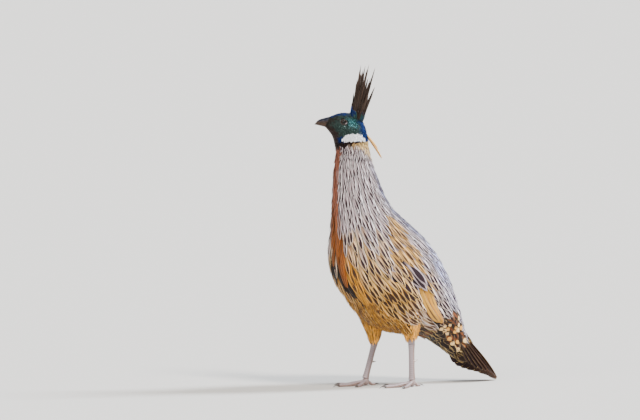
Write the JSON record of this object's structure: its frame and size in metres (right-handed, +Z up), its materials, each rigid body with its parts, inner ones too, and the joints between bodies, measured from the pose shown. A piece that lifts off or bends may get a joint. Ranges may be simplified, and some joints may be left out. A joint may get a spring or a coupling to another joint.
{
  "type": "koklass pheasant",
  "caption": "Life-size standing model of a male koklass pheasant with a raised crest, streaked silver plumage, folded wings and a short graduated tail.",
  "frame": {"origin": "on the floor under the middle of the bird's length and width", "axes": "+Z up, -Y the way the bird's body faces, +X to the bird's left side"},
  "size_m": [0.1372, 0.3414, 0.5152],
  "materials": {
    "head_plumage": "glossy dark green plumage with a white patch on the side of the neck",
    "crest_plumage": "glossy black-brown crest feathers with a blue-green base",
    "buff_plume": "golden buff plume",
    "silver_plumage": "silver-grey lanceolate feathers with black shaft streaks, a chestnut band down the foreneck and breast",
    "wing_plumage": "brown-buff folded wing feathers with dark spots and streaks",
    "thigh_plumage": "golden tan soft plumage",
    "tail_plumage": "dark brown tail feathers with buff edges",
    "bill_horn": "blackish satin horn",
    "eye": "dark brown wet eye",
    "leg_scale": "grey-violet scaled skin",
    "claw_horn": "dark horn"
  },
  "bodies": {
    "root": {"head": "head_plumage", "crest": "crest_plumage", "crest_buff": "buff_plume", "neck": "silver_plumage", "torso": "silver_plumage", "wing_left": "wing_plumage", "wing_right": "wing_plumage", "thigh_left": "thigh_plumage", "thigh_right": "thigh_plumage", "tail": "tail_plumage", "bill_upper": "bill_horn", "bill_lower": "bill_horn", "eye_left": "eye", "eye_right": "eye", "shank_left": "leg_scale", "shank_right": "leg_scale", "foot_left": "leg_scale", "foot_right": "leg_scale", "spur_left": "claw_horn", "spur_right": "claw_horn", "claw_inner_left": "claw_horn", "claw_middle_left": "claw_horn", "claw_outer_left": "claw_horn", "claw_hind_left": "claw_horn", "claw_inner_right": "claw_horn", "claw_middle_right": "claw_horn", "claw_outer_right": "claw_horn", "claw_hind_right": "claw_horn"}
  },
  "joints": []
}
